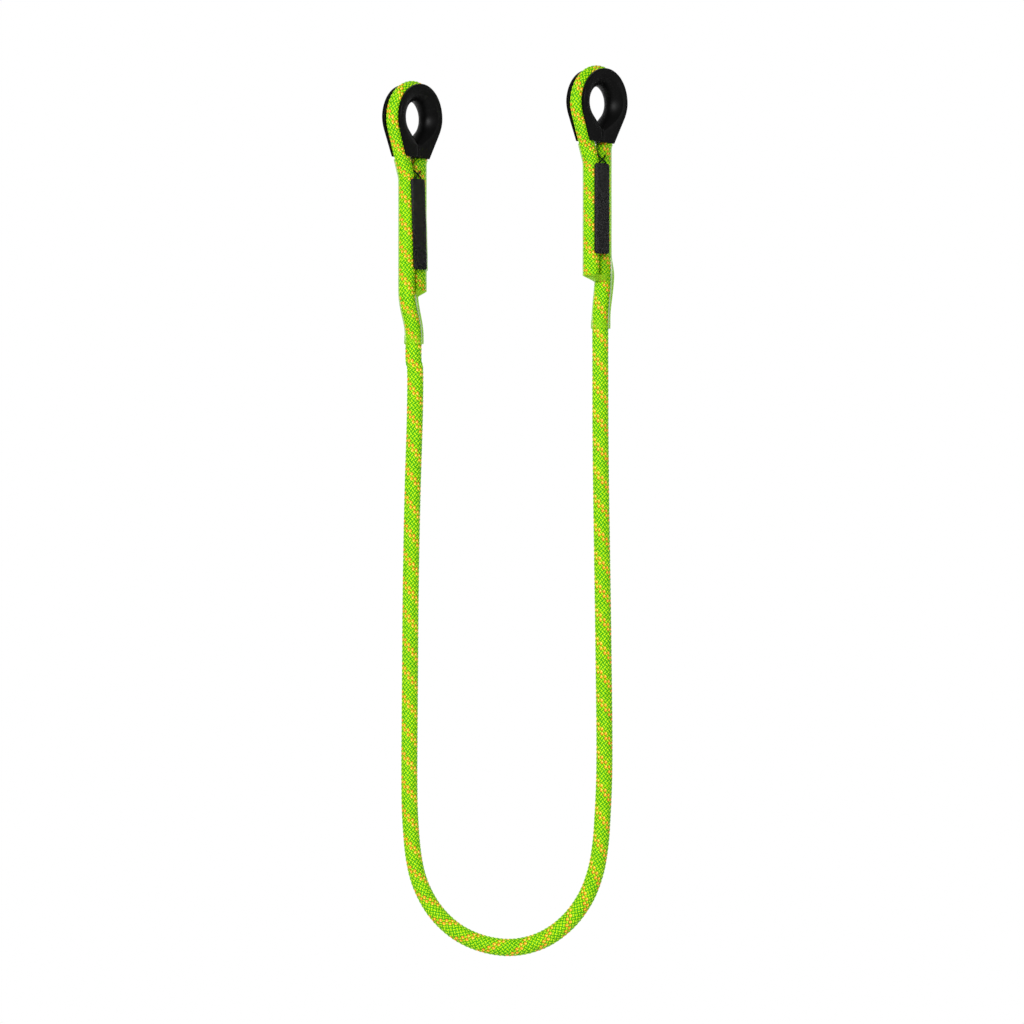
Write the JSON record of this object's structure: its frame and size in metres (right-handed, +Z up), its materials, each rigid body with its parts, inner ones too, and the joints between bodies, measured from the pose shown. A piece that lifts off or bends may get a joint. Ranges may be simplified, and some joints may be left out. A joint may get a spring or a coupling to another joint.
{
  "type": "restraint lanyard",
  "caption": "Rope restraint lanyard hanging in a U: kernmantle rope with a thimble eye sewn into each end, each under a cover strip and a clear sleeve.",
  "frame": {"origin": "centre of the left eye, halfway through the thimble's thickness", "axes": "+Z up as it hangs, +X from the left eye towards the right eye; the loop of free rope lies in the XZ plane and the fronts of both eyes face +X and -Y"},
  "size_m": [0.1629, 0.0414, 0.5904],
  "materials": {
    "thimble": "moulded black plastic, satin",
    "rope_sheath": "braided polyamide, vivid green with an orange and yellow tracer",
    "rope_core": "undyed parallel strands",
    "tail_seal": "rope melted by a hot knife",
    "thread": "black bonded sewing thread",
    "cover_strip": "smooth black polymer strip, satin",
    "clear_sleeve": "clear heat-shrink film"
  },
  "bodies": {
    "left_end": {"left_thimble": "thimble", "left_eye_sheath": "rope_sheath", "left_eye_core": "rope_core", "left_tail_seal": "tail_seal", "left_stitching": "thread", "left_cover_strip": "cover_strip", "left_clear_sleeve": "clear_sleeve"},
    "rope_loop": {"free_rope_sheath": "rope_sheath", "free_rope_core": "rope_core"},
    "right_end": {"right_thimble": "thimble", "right_eye_sheath": "rope_sheath", "right_eye_core": "rope_core", "right_tail_seal": "tail_seal", "right_stitching": "thread", "right_cover_strip": "cover_strip", "right_clear_sleeve": "clear_sleeve"}
  },
  "joints": [
    {"name": "loop_swing", "type": "hinge", "parent": "left_end", "child": "rope_loop", "pos_m": [0.00067, 0.00074, -0.1527], "axis": [0.9965, 0.0101, 0.0828], "range_deg": [-60, 60], "deforming": ["free_rope_sheath", "free_rope_core"]},
    {"name": "right_end_swing", "type": "hinge", "parent": "rope_loop", "child": "right_end", "pos_m": [0.1246, 0.002, -0.1424], "axis": [0.9965, 0.0101, 0.0828], "range_deg": [-60, 60], "deforming": ["free_rope_sheath", "free_rope_core"]}
  ],
  "couplings": [
    {"joint": "right_end_swing", "follows": "loop_swing", "ratio": -1}
  ]
}
